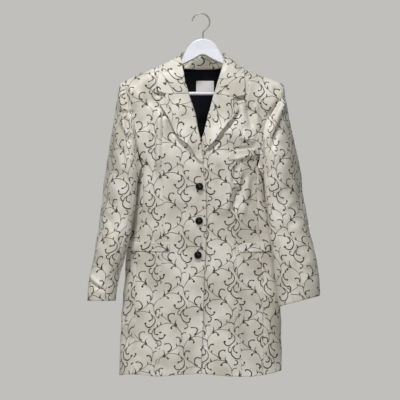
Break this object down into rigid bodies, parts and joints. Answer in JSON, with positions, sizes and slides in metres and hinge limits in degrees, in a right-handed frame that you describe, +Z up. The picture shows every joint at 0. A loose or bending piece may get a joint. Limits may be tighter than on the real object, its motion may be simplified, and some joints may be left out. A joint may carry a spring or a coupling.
{
  "type": "longline blazer on hanger",
  "caption": "Long ivory jacquard blazer with notched lapels, welt pockets and domed buttons, hanging open at neck, cuffs and hem on a white wooden hanger.",
  "frame": {"origin": "inside top of the hook, where it hangs on a rail or nail", "axes": "+X to the wearer's left, +Z up, front of the blazer towards -Y"},
  "size_m": [0.6312, 0.1596, 0.9962],
  "materials": {
    "ivory_jacquard": "ivory satin jacquard with dark scrolling vine figure",
    "dark_lining": "blue-black satin lining",
    "white_label": "plain white woven tape",
    "black_button": "polished black",
    "white_wood": "white lacquer",
    "hook_wire": "bright wire"
  },
  "bodies": {
    "root": {"front_right": "ivory_jacquard", "front_left": "ivory_jacquard", "side_front_right": "ivory_jacquard", "side_front_left": "ivory_jacquard", "side_right": "ivory_jacquard", "side_left": "ivory_jacquard", "back": "ivory_jacquard", "lapel_right": "ivory_jacquard", "lapel_left": "ivory_jacquard", "collar": "ivory_jacquard", "top_sleeve_right": "ivory_jacquard", "under_sleeve_right": "ivory_jacquard", "top_sleeve_left": "ivory_jacquard", "under_sleeve_left": "ivory_jacquard", "breast_welt": "ivory_jacquard", "hip_welt_right": "ivory_jacquard", "hip_welt_left": "ivory_jacquard", "lining_back": "dark_lining", "neck_label": "white_label", "button_top": "black_button", "button_middle": "black_button", "button_bottom": "black_button", "hanger_body": "white_wood", "hanger_bar": "white_wood", "hanger_hook": "hook_wire"}
  },
  "joints": []
}
